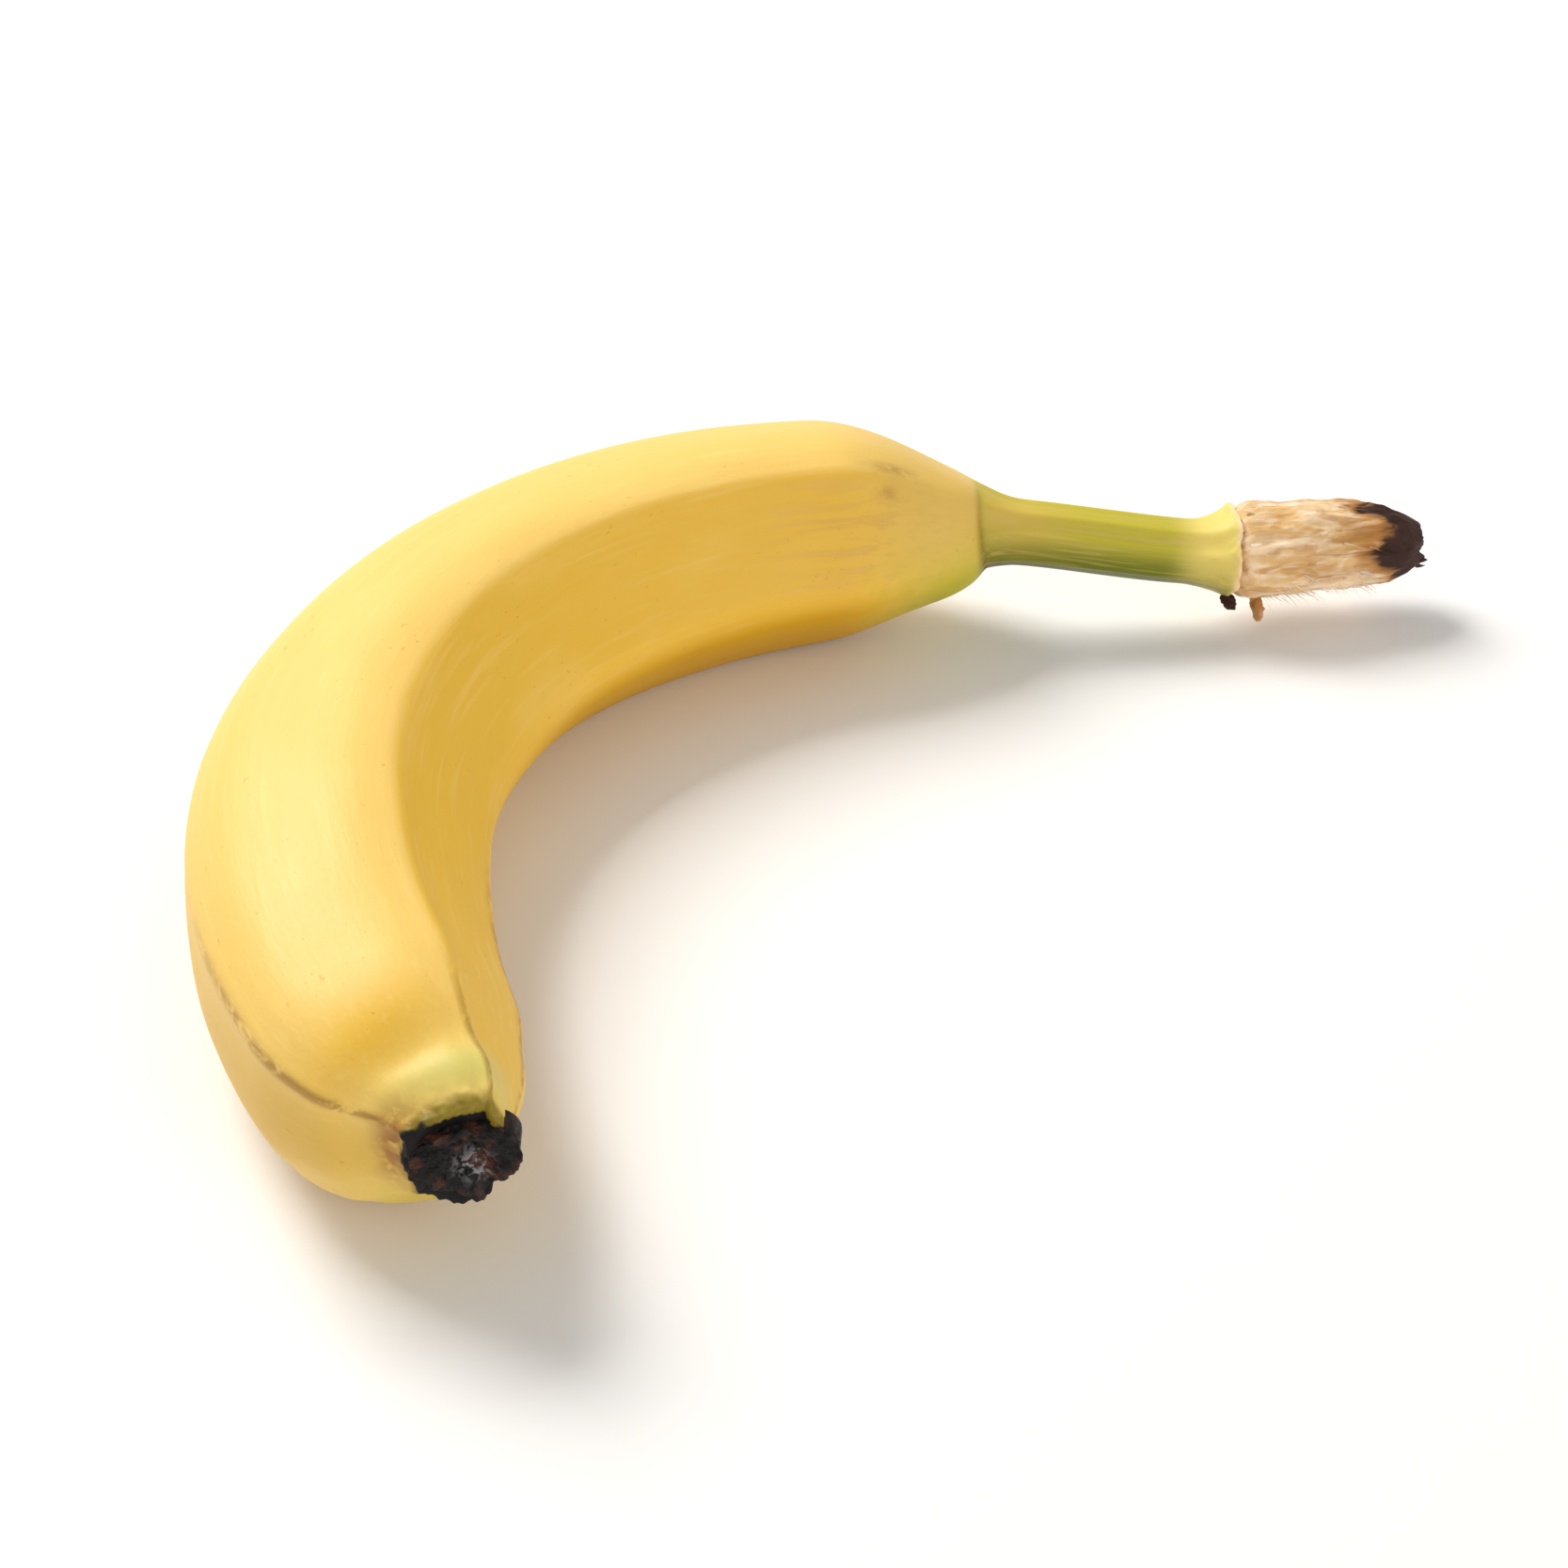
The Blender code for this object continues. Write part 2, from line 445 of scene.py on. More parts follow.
def straight_tube(name, places, radii, sides):
    """A closed tube on Z: a disc extruded from place to place and resized to each radius."""
    deselect_all()
    bpy.ops.mesh.primitive_circle_add(
        vertices=sides, radius=radii[0], fill_type="NGON", location=(0, 0, places[0])
    )
    piece = bpy.context.object
    piece.name = name
    piece.data.name = name
    bpy.ops.object.transform_apply(location=True, rotation=True, scale=True)
    bpy.ops.object.mode_set(mode="EDIT")
    bpy.ops.mesh.select_all(action="SELECT")
    for before, place, radius_before, radius in zip(places, places[1:], radii, radii[1:]):
        bpy.ops.mesh.extrude_region_move(TRANSFORM_OT_translate={"value": (0, 0, place - before)})
        share = radius / radius_before
        bpy.ops.transform.resize(value=(share, share, 1), center_override=(0, 0, place))
    bpy.ops.mesh.select_all(action="SELECT")
    bpy.ops.mesh.normals_make_consistent(inside=False)
    bpy.ops.object.mode_set(mode="OBJECT")
    return piece


def noise_at(points, scale, stretch=1.0, octaves=3, seed=0.0):
    """Soft noise from -1 to 1 at straight points, drawn out along the fruit by the stretch."""
    shift = Vector((seed, 1.7 * seed, -seed))
    sizes = np.array([scale, scale, scale * stretch])
    places = (Vector(point) + shift for point in points / sizes)
    return np.array([noise.fractal(p, NOISE_FALLOFF, NOISE_FINENESS, octaves) for p in places])


def finish_piece(piece, material):
    """Gives the piece its material and body, faces that face out, and smooth shading."""
    piece.data.materials.clear()
    piece.data.materials.append(material)
    select_only(piece)
    bpy.ops.object.mode_set(mode="EDIT")
    bpy.ops.mesh.select_all(action="SELECT")
    bpy.ops.mesh.normals_make_consistent(inside=False)
    bpy.ops.object.mode_set(mode="OBJECT")
    bpy.ops.object.shade_smooth()
    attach(piece, BODY)
    return piece


# ---- materials

# Colours of small places, in linear light.
PALE_STREAK = (0.97, 0.72, 0.27)
# Painted shade: a still deeper yellow for the faces near the floor.
LOW_SHADE_GOLD = (0.62, 0.335, 0.0)
NUB_RING = (0.60, 0.56, 0.15)
STEM_STRIPE = (0.60, 0.47, 0.10)
# Painted shade for the stem's underside.
STEM_UNDERSIDE_SHADE = (0.065, 0.090, 0.001)
TIRED_BROWN = (0.50, 0.22, 0.045)
SPECK_BROWN = (0.50, 0.23, 0.03)
HALO_BROWN = (0.33, 0.12, 0.018)
OLIVE = (0.20, 0.15, 0.002)
STEM_PLACES = {
    "tan": (0.66, 0.43, 0.10),
    "crease": (0.22, 0.11, 0.010),
    "collar": (0.80, 0.64, 0.17),
    "rim": (0.90, 0.66, 0.36),
}
FIBRE_CLOUD = (0.90, 0.70, 0.47)
FIBRE_CREAM = (0.93, 0.82, 0.66)
FLUFF_WHITE = (0.92, 0.84, 0.72)
WITHERED_EDGE = (0.42, 0.18, 0.040)
BLOSSOM_BROWN = (0.075, 0.022, 0.010)
GLINT_GREY = (0.34, 0.33, 0.35)
FLOOR_SHADE = (0.80, 0.78, 0.76)

PEEL_SHEEN = {
    "Subsurface_Weight": 0.12,
    "Subsurface_Radius": (1.0, 0.55, 0.12),
    "Subsurface_Scale": 0.004,
    "Specular_IOR_Level": 0.30,
}
FIBRE_SHEEN = {
    "Subsurface_Weight": 0.10,
    "Subsurface_Scale": 0.002,
    "Specular_IOR_Level": 0.3,
}


class Number:
    """A number that varies over a surface. Arithmetic on it adds Math nodes."""

    def __init__(self, paint, socket):
        self.paint = paint
        self.socket = socket

    def __add__(self, other):
        return self.paint.maths("ADD", self, other)

    __radd__ = __add__

    def __sub__(self, other):
        return self.paint.maths("SUBTRACT", self, other)

    def __rsub__(self, other):
        return self.paint.maths("SUBTRACT", other, self)

    def __mul__(self, other):
        return self.paint.maths("MULTIPLY", self, other)

    __rmul__ = __mul__

    def clamped(self):
        """The number held between 0 and 1."""
        return self.paint.maths("ADD", self, 0.0, clamp=True)


class Paint:
    """One material: its nodes are added by node(), and read as numbers and colours."""

    def __init__(self, name):
        self.material = bpy.data.materials.new(name)
        self.material.use_nodes = True
        self.tree = self.material.node_tree
        self.shader = self.tree.nodes["Principled BSDF"]
        self.colour = None

    def feed(self, socket, value):
        """Links a socket or sets its value."""
        if isinstance(value, Number):
            value = value.socket
        if isinstance(value, bpy.types.NodeSocket):
            self.tree.links.new(value, socket)
        elif socket.type == "RGBA" and len(value) == 3:
            socket.default_value = (*value, 1.0)
        else:
            socket.default_value = value

    def node(self, kind, settings, inputs):
        """Adds a node: its settings first, then its inputs."""
        made = self.tree.nodes.new(kind)
        for key, value in settings.items():
            setattr(made, key, value)
        for key, value in inputs.items():
            self.feed(made.inputs[key], value)
        return made

    def maths(self, operation, first, second, clamp=False):
        """One Math node."""
        settings = {"operation": operation, "use_clamp": clamp}
        return Number(self, self.node("ShaderNodeMath", settings, {0: first, 1: second}).outputs[0])

    def number(self, name):
        """A number kept on the mesh."""
        made = self.node("ShaderNodeAttribute", {"attribute_name": name}, {})
        return Number(self, made.outputs["Fac"])

    def straight(self, across, along):
        """Straight coordinates, counted in features of these sizes in millimetres."""
        made = self.node("ShaderNodeAttribute", {"attribute_name": "straight"}, {})
        across, along = 1 / (across * MILLIMETRE), 1 / (along * MILLIMETRE)
        inputs = {0: made.outputs["Vector"], 1: (across, across, along)}
        return self.node("ShaderNodeVectorMath", {"operation": "MULTIPLY"}, inputs).outputs[0]

    def grain(self, across, along, detail=3.0, roughness=0.55, distortion=0.0):
        """Soft noise from 0 to 1, with features of these sizes in millimetres."""
        inputs = {
            "Vector": self.straight(across, along),
            "Scale": 1.0,
            "Detail": detail,
            "Roughness": roughness,
            "Distortion": distortion,
        }
        return Number(self, self.node("ShaderNodeTexNoise", {}, inputs).outputs["Fac"])

    def step(self, low, high, value):
        """0 below low, 1 above high, and an eased rise between them."""
        inputs = {"Value": value, "From Min": low, "From Max": high}
        made = self.node("ShaderNodeMapRange", {"interpolation_type": "SMOOTHSTEP"}, inputs)
        return Number(self, made.outputs["Result"])

    def mix(self, factor, first, second):
        """The second colour over the first."""
        settings = {"data_type": "RGBA", "clamp_factor": True}
        return self.node("ShaderNodeMix", settings, {0: factor, 6: first, 7: second}).outputs[2]

    def lay(self, colour, factor):
        """Lays a colour over the surface's colour so far."""
        self.colour = self.mix(factor, self.colour, colour)

    def relief(self, height, distance):
        """Fine relief of this height in millimetres."""
        inputs = {"Height": height, "Distance": distance * MILLIMETRE, "Strength": 1.0}
        self.feed(self.shader.inputs["Normal"], self.node("ShaderNodeBump", {}, inputs).outputs[0])

    def finish(self, roughness, **constants):
        """Sets the surface's colour and roughness, and what is the same all over."""
        self.feed(self.shader.inputs["Base Color"], self.colour)
        self.feed(self.shader.inputs["Roughness"], roughness)
        for name, value in constants.items():
            self.feed(self.shader.inputs[name.replace("_", " ")], value)
        return self.material


def peel_material(colours):
    """Ripe peel: satin yellow, green at both ends, streaked, scuffed and specked, with painted
    shade in a deeper yellow on its inner and low faces.
    """
    paint = Paint("peel_skin")
    patches = paint.grain(14.0, 38.0)
    streaks = paint.grain(1.1, 26.0, detail=4.0)
    fine = paint.grain(0.55, 1.1, detail=4.0)
    blotches = paint.grain(2.2, 5.0, detail=4.0, distortion=0.6)
    stripes = paint.grain(0.8, 20.0, detail=2.0)

    # Painted shade: the inner faces and the hollow before the nub turn a deeper yellow, with random
    # tone from the patches and streaks.
    gold = paint.number("gold") + 0.35 * (patches - 0.5) + 0.12 * (streaks - 0.5)
    paint.colour = paint.mix(gold.clamped(), colours.ripe, colours.golden)
    paint.lay(PALE_STREAK, 0.22 * paint.step(0.50, 0.75, streaks))
    paint.lay(PALE_STREAK, 0.25 * paint.step(0.50, 0.78, patches))
    # Painted shade: the faces near the floor, and the outer side before the taper, turn a still
    # deeper yellow.
    low = paint.number("low") * (0.75 + 0.5 * patches)
    paint.lay(LOW_SHADE_GOLD, low.clamped())
    green = paint.number("green") * (0.80 + 0.4 * patches + 0.3 * (streaks - 0.5))
    paint.lay(colours.unripe, green.clamped())
    paint.lay(NUB_RING, paint.number("ring"))

    # Painted shade: the stem's lower side turns darker green, and its underside darker still.
    shade = paint.number("shade") + 0.55 * (stripes - 0.5)
    stem = paint.mix(shade.clamped(), colours.stem, colours.stem_shade)
    stem = paint.mix(0.5 * paint.step(0.52, 0.70, stripes), stem, STEM_STRIPE)
    stem = paint.mix(paint.number("under"), stem, STEM_UNDERSIDE_SHADE)
    paint.lay(stem, paint.number("stem"))
    for name, over in STEM_PLACES.items():
        paint.lay(over, paint.number(name))

    tired = paint.number("tired") * paint.step(0.46, 0.66, streaks)
    paint.lay(TIRED_BROWN, 0.30 * tired)
    scuff = paint.number("scuff") * paint.step(0.34, 0.56, blotches + 0.30 * (fine - 0.5))
    paint.lay(colours.bruise, 0.88 * scuff)
    specks = paint.step(0.705, 0.745, paint.grain(0.75, 1.2, detail=1.0))
    specks = specks * paint.step(0.45, 0.62, paint.grain(9.0, 16.0))
    paint.lay(SPECK_BROWN, 0.35 * specks)

    torn = paint.step(0.35, 0.65, paint.number("torn") + 0.35 * (blotches - 0.5))
    paint.lay(colours.fibre, torn)
    halo = paint.number("halo") * paint.step(0.28, 0.55, blotches)
    paint.lay(HALO_BROWN, 0.95 * halo)
    olive = paint.step(0.10, 0.90, paint.number("olive") + 0.2 * (blotches - 0.5))
    paint.lay(OLIVE, 0.9 * olive)
    dry = paint.step(0.35, 0.65, paint.number("dry") + 0.7 * (blotches - 0.5))
    paint.lay(colours.blossom, dry)
    paint.relief(0.5 * fine + 0.8 * streaks + 0.5 * blotches, 0.08)
    roughness = 0.42 + 0.10 * (fine - 0.5) + 0.14 * patches + 0.25 * dry
    return paint.finish(roughness, **PEEL_SHEEN)


def fibre_material(colours):
    """Torn fibres: tan and cream strands, orange-brown stains, painted shade in the grooves between
    them, withered dark at the tip.
    """
    paint = Paint("torn_fibre")
    strands = paint.grain(0.9, 5.0, detail=4.0, distortion=0.5)
    clouds = paint.grain(3.2, 7.0, detail=3.0, distortion=0.6)
    stains = paint.grain(2.0, 8.0, detail=4.0, distortion=0.8)
    fine = paint.grain(0.35, 0.7, detail=3.0)
    paint.colour = paint.mix(paint.step(0.36, 0.64, clouds), colours.fibre, FIBRE_CLOUD)
    paint.lay(FIBRE_CREAM, 0.6 * paint.step(0.50, 0.70, strands))
    stained = paint.step(0.52, 0.70, stains + 0.12 * paint.number("stain"))
    paint.lay(colours.fibre_deep, 0.62 * stained)
    # Painted shade in the stump's grooves between the fibres; an even tint on the scraps.
    paint.lay(colours.fibre_deep, 0.55 * paint.number("deep"))
    paint.lay(FLUFF_WHITE, paint.number("pale"))
    edge = paint.number("withered") + 0.9 * (stains - 0.5) + 0.35 * (strands - 0.5)
    paint.lay(WITHERED_EDGE, 0.9 * paint.step(0.02, 0.50, edge))
    paint.lay(colours.withered, paint.step(0.42, 0.78, edge))
    paint.relief(strands + 0.6 * fine, 0.18)
    roughness = 0.80 - 0.15 * paint.step(0.42, 0.62, edge)
    return paint.finish(roughness, **FIBRE_SHEEN)


def blossom_material(colours):
    """Dry blossom end: crumbled and black, with brown edges and a few grey glints."""
    paint = Paint("dry_blossom")
    crumbs = paint.grain(0.9, 0.9, detail=5.0, distortion=0.5)
    brown = paint.grain(2.6, 2.6, detail=3.0)
    paint.colour = paint.mix(paint.step(0.48, 0.66, brown), colours.blossom, BLOSSOM_BROWN)
    glint = paint.number("glint") * paint.step(0.46, 0.58, crumbs)
    paint.lay(GLINT_GREY, glint)
    paint.relief(crumbs, 0.5)
    roughness = 0.40 + 0.40 * crumbs
    return paint.finish(roughness, Specular_IOR_Level=0.3)


def floor_material(colours):
    """Plain pale matt floor, faintly uneven."""
    paint = Paint("pale_floor")
    made = paint.node("ShaderNodeTexCoord", {}, {})
    inputs = {"Vector": made.outputs["Object"], "Scale": 3.0, "Detail": 2.0}
    soft = Number(paint, paint.node("ShaderNodeTexNoise", {}, inputs).outputs["Fac"])
    paint.colour = paint.mix(0.06 * soft, colours.floor, FLOOR_SHADE)
    return paint.finish(0.75 + 0.05 * soft, Specular_IOR_Level=0.1)


# ---- pieces

PEEL_SIDES = 36
PEEL_RING = 0.0024
FOLD_RING = 0.0006
FOLD_RINGS_MIDDLE = 0.0002  # past the neck
FOLD_RINGS_REACH = 0.0030
CORE_SIDES = 40
CORE_RING = 0.0010
SKIN_FROM = 0.97  # share of the radius past which a point is on the skin, not on an end cap

# Ridges of the peel: direction round the section in degrees, height on the body and growth
# towards the nub, both in millimetres.
RIDGES = (
    (29.0, 0.25, 0.45),
    (119.0, 0.45, 0.15),
    (177.0, 0.30, -0.15),
    (250.0, 0.2, 0.2),
    (318.0, 0.2, 0.3),
)
BACK_RIDGE, UPPER_RIDGE, INSIDE_RIDGE = (ridge[0] for ridge in RIDGES[:3])
RIDGE_SPREAD = 6.0
STEM_RIDGES = (15, 62, 118, 160, 205, 262, 318)
STEM_RIDGE_SPREAD = 11.0
STEM_RIDGE_HEIGHT = 0.00040
STEM_RIDGE_LEVEL = 0.4  # share of a ridge that stands below the plain skin
STEM_FADE = 0.004
BELLY_HEIGHT = 0.0009

FOLD_HEIGHT = 0.0030
FOLD_ROUNDING = 2.4  # millimetres
FOLD_FADE = 15  # millimetres
PINCH_DEPTH = 0.0004
PINCH = (-4.0, -0.5)  # millimetres from the fold
CROWN_HEIGHT = 0.0012
HOLLOW_DEPTH = 0.0010
SWELL_HEIGHT = 0.0008
NUB_THINNING = 0.0026
NUB_LEAN_IN = 0.0018
NUB_LEAN_UP = 0.0008
WAVES = 0.00025
RIPPLES = 0.00004
STEM_RIPPLES = 0.00010

RIM_LENGTH = 0.0035
RIM_RAGGED_ALONG = 0.0005
RIM_RAGGED_OUT = 0.00035
RIM_FLARE = 0.0002
RIM_CUP = 0.0014
LIP_LENGTH = 0.0035
LIP_CRUMBLE_ALONG = 0.0007
LIP_CRUMBLE_OUT = 0.0004
LIP_CUP = 0.0012

# Sides of the fruit: direction round the section and spread, in degrees.
STEM_BELLY = (245, 70)
NUB_INSIDE = (195, 48)
# Painted shade on the outer side, below the back ridge, before the taper.
OUTER_LOW_SHADE = (-4, 26)
NECK_GREEN = (222, 50)
UNDER_GREEN = (270, 60)
COLLAR_GREEN = (235, 45)
# Painted shade under the stem.
STEM_UNDER_SHADE = (240, 30)
NUB_OUTER = (10, 40)
NUB_TOP = (95, 55)

# Bands round the section: over which degrees each comes in, and over which it goes out.
# Painted shade on the inner faces is laid in the first band.
INNER_SHADE_BAND = ((115, 121), (255, 290))
# Painted shade on the faces near the floor is laid in the next band.
LOW_SHADE_BAND = ((180, 198), (285, 320))
SHADE_BAND = ((140, 200), (300, 350))


def band(edges, degrees):
    """1 inside a band round the section, easing off at both edges."""
    rise, fall = edges
    return ramp(*rise, degrees) * (1 - ramp(*fall, degrees))


def polar(co):
    """Distance along, direction round and distance from the middle of straight points."""
    return co[:, 2].copy(), np.arctan2(co[:, 1], co[:, 0]), np.hypot(co[:, 0], co[:, 1])


def shape_peel(fruit, co):
    """Presses the faces, ridges, folds and dents into the straight peel."""
    along, around, reach = polar(co)
    on_skin = np.clip(reach / (SKIN_FROM * fruit.radius(along)), 0, 1)
    reach = reach * fruit.section(around, fruit.angularity(along))
    body = ramp(fruit.shoulder_start, fruit.shoulder, along)
    stem = 1 - ramp(fruit.shoulder_start - STEM_FADE, fruit.shoulder_start + STEM_FADE, along)
    towards_end = ramp(fruit.thickest - 0.010, fruit.taper + 0.004, along)
    for ridge, height, growth in RIDGES:
        line = side(ridge, RIDGE_SPREAD, around)
        reach += on_skin * MILLIMETRE * line * (height + growth * towards_end) * body
    for ridge in STEM_RIDGES:
        line = side(ridge, STEM_RIDGE_SPREAD, around)
        reach += on_skin * STEM_RIDGE_HEIGHT * (line - STEM_RIDGE_LEVEL) * stem
    belly = side(*STEM_BELLY, around) * stem * ramp(fruit.collar, fruit.slim, along)
    reach += on_skin * BELLY_HEIGHT * belly

    past_fold = (along - fruit.fold(around)) / MILLIMETRE
    rounded = 1 - np.exp(-np.maximum(past_fold, 0) / FOLD_ROUNDING)
    swelling = FOLD_HEIGHT * rounded * bump(0, FOLD_FADE, past_fold)
    pinch = PINCH_DEPTH * ramp(*PINCH, past_fold) * (past_fold < 0)
    reach += on_skin * fruit.fold_side(around) * (swelling - pinch)
    crown = CROWN_HEIGHT * fruit.spot("crown", along, around)
    hollow = HOLLOW_DEPTH * fruit.spot("hollow", along, around)
    swell = SWELL_HEIGHT * fruit.spot("swell", along, around)
    reach += on_skin * (crown - hollow + swell)
    near_end = ramp(fruit.end - 0.011, fruit.end - 0.002, along)
    reach -= on_skin * NUB_THINNING * side(*NUB_INSIDE, around) * near_end

    straight = np.stack([reach * np.cos(around), reach * np.sin(around), along], axis=1)
    waves = noise_at(straight, 0.017, 1.6, 2, 3.1)
    ripples = noise_at(straight, 0.0042, 5.0, 2, 7.7)
    rag = noise_at(straight, 0.0022, 1.0, 3, 11.0)
    reach += on_skin * (body * (WAVES * waves + RIPPLES * ripples) + stem * STEM_RIPPLES * ripples)
    rim = 1 - ramp(fruit.collar, fruit.collar + RIM_LENGTH, along)
    inside = 1 - on_skin**3
    along = along + rim * (RIM_RAGGED_ALONG * rag + RIM_CUP * inside)
    reach += on_skin * rim * (RIM_RAGGED_OUT * rag + RIM_FLARE)
    lip = ramp(fruit.end - LIP_LENGTH, fruit.end, along)
    crumble = noise_at(straight, 0.0019, 1.0, 3, 23.0)
    along = along + lip * (LIP_CRUMBLE_ALONG * crumble - LIP_CUP * inside)
    reach += on_skin * lip * LIP_CRUMBLE_OUT * crumble
    lean = fruit.lean(along)
    outward = reach * np.cos(around) - NUB_LEAN_IN * lean
    upward = reach * np.sin(around) + NUB_LEAN_UP * lean
    return np.stack([outward, upward, along], axis=1), around, rag, on_skin


def paint_body(fruit, mesh, along, around):
    """Keeps where the body's skin gets painted shade (on its inner faces, in the hollow before the
    nub and near the floor), and where it is tired and scuffed, on its points.
    """
    degrees = np.degrees(around) % 360
    start, shoulder, end = fruit.shoulder_start, fruit.shoulder, fruit.end
    # Painted shade on the inner faces, stronger towards their lower edge, over a faint tint all
    # over.
    inner_shade = (0.66 + 0.34 * ramp(170, 215, degrees)) * band(INNER_SHADE_BAND, degrees)
    gold = 0.06 + inner_shade * ramp(start, shoulder, along)
    # The hollow before the nub gets painted shade too.
    add_number(mesh, "gold", gold + 0.65 * fruit.spot("hollow_shade", along, around))
    # Painted shade on the faces near the floor, easing off further along the body, and on the outer
    # side before the taper.
    low = band(LOW_SHADE_BAND, degrees) * ramp(start + 0.006, shoulder, along)
    low *= 1 - 0.7 * ramp(shoulder + 0.050, shoulder + 0.085, along)
    outer_low_shade = side(*OUTER_LOW_SHADE, around) * ramp(fruit.thickest - 0.015, fruit.taper, along)
    add_number(mesh, "low", low + 0.45 * outer_low_shade)
    add_number(mesh, "tired", fruit.spot("tired", along, around))
    back = side(BACK_RIDGE, 2.6, around) * ramp(fruit.thickest + 0.010, fruit.taper, along)
    upper = side(UPPER_RIDGE, 2.2, around) * ramp(fruit.taper, end - 0.004, along)
    inside = side(INSIDE_RIDGE, 2.4, around) * ramp(fruit.thickest, fruit.thickest + 0.02, along)
    scuff = 0.95 * back + 0.95 * upper + 0.85 * inside
    scuff += 0.65 * fruit.spot("front_scuff", along, around)
    scuff += 0.4 * fruit.spot("smudge", along, around)
    add_number(mesh, "scuff", np.clip(scuff, 0, 1))


def paint_stem(fruit, mesh, along, around, rag):
    """Keeps where the skin is green, tan, creased, pale or torn at its stem end, and where the stem
    gets painted shade, on its points.
    """
    degrees, fold, collar = np.degrees(around) % 360, fruit.fold(around), fruit.collar
    neck = 1 - ramp(fold + 0.001, fold + 0.026 + 0.008 * rag, along)
    neck *= 0.10 + 1.10 * side(*NECK_GREEN, around)
    under_nub = ramp(fruit.taper + 0.004, fruit.end - 0.004, along) * side(*UNDER_GREEN, around)
    add_number(mesh, "green", neck + 0.6 * under_nub)
    add_number(mesh, "stem", 1 - ramp(-0.0003, 0.0012, along - fold))
    # Painted shade on the stem's lower side, and darker still on its underside.
    add_number(mesh, "shade", 0.05 + 0.95 * band(SHADE_BAND, degrees))
    under = side(*STEM_UNDER_SHADE, around) * ramp(collar + 0.004, fruit.slim, along)
    add_number(mesh, "under", 0.85 * under)
    neck_tan = 0.55 * fruit.spot("neck_tan", along, around)
    stem_tan = 0.60 * fruit.spot("stem_tan", along, around)
    add_number(mesh, "tan", np.maximum(neck_tan, stem_tan))
    corner = 0.9 * fruit.spot("fold_corner", along, around)
    line = 0.42 * fruit.spot("fold_line", along, around)
    add_number(mesh, "crease", np.maximum(corner, line))
    pale = 1 - ramp(collar + 0.0050, collar + 0.0120, along)
    add_number(mesh, "collar", 0.95 * pale * (1 - 0.75 * side(*COLLAR_GREEN, around)))
    add_number(mesh, "rim", 1 - ramp(collar + 0.0004, collar + 0.0016, along))
    add_number(mesh, "torn", 1 - ramp(collar - 0.0004, collar + 0.0006, along))


def paint_nub(fruit, mesh, along, around, on_skin):
    """Keeps where the nub's skin is ringed, brown, olive and dry on its points."""
    end = fruit.end
    outer, top = side(*NUB_OUTER, around), side(*NUB_TOP, around)
    add_number(mesh, "ring", 0.80 * fruit.spot("nub_green", along, around))
    add_number(mesh, "halo", ramp(end - 0.0065, end - 0.0025, along) * outer)
    add_number(mesh, "olive", ramp(end - 0.0024, end - 0.0004, along))
    dry = ramp(end - 0.0010 - 0.0018 * outer, end - 0.0002, along) * (1 - 0.8 * top)
    cap = (1 - ramp(0.80, 0.97, on_skin)) * (along > fruit.nub)
    add_number(mesh, "dry", np.maximum(dry, cap))


def bend_piece(fruit, piece, straight):
    """Bends a straight piece onto the middle line, and presses it flat where it rests."""
    bent = fruit.bend(straight[:, 2], straight[:, 0], straight[:, 1])
    bent[:, 2] = np.maximum(bent[:, 2], 0.0)
    set_coordinates(piece.data, bent)


def rings_between(first, last, fruit):
    """Places of the peel's rings: close together at the rims and at the fold of the neck."""
    places = [first, first + 0.25 * PEEL_RING, first + 0.6 * PEEL_RING]
    fold = fruit.shoulder_start + FOLD_RINGS_MIDDLE
    while places[-1] < last - 1.4 * PEEL_RING:
        near = abs(places[-1] - fold) < FOLD_RINGS_REACH
        places.append(places[-1] + (FOLD_RING if near else PEEL_RING))
    return [*places, last - 0.6 * PEEL_RING, last - 0.25 * PEEL_RING, last]


def inset_end_face(piece, place, times, thickness):
    """Insets the flat end face of a straight piece again and again, for points to shape."""
    select_only(piece)
    bpy.ops.object.mode_set(mode="EDIT")
    bpy.ops.mesh.select_all(action="DESELECT")
    bpy.ops.object.mode_set(mode="OBJECT")
    for face in piece.data.polygons:
        face.select = face.center.z > place - 0.01 * MILLIMETRE
    bpy.ops.object.mode_set(mode="EDIT")
    for _ in range(times):
        bpy.ops.mesh.inset(thickness=thickness, depth=0.0)
    bpy.ops.object.mode_set(mode="OBJECT")


def make_peel(fruit, colours):
    """The skin, from the collar of the stem to the nub."""
    places = rings_between(fruit.collar, fruit.end, fruit)
    piece = straight_tube("peel", places, list(fruit.radius(np.array(places))), PEEL_SIDES)
    apply_subdivision(piece, 2)
    straight, around, rag, on_skin = shape_peel(fruit, coordinates(piece.data))
    along = straight[:, 2]
    add_vector(piece.data, "straight", straight)
    paint_body(fruit, piece.data, along, around)
    paint_stem(fruit, piece.data, along, around, rag)
    paint_nub(fruit, piece.data, along, around, on_skin)
    bend_piece(fruit, piece, straight)
    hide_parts(NODE)
    return finish_piece(piece, peel_material(colours))


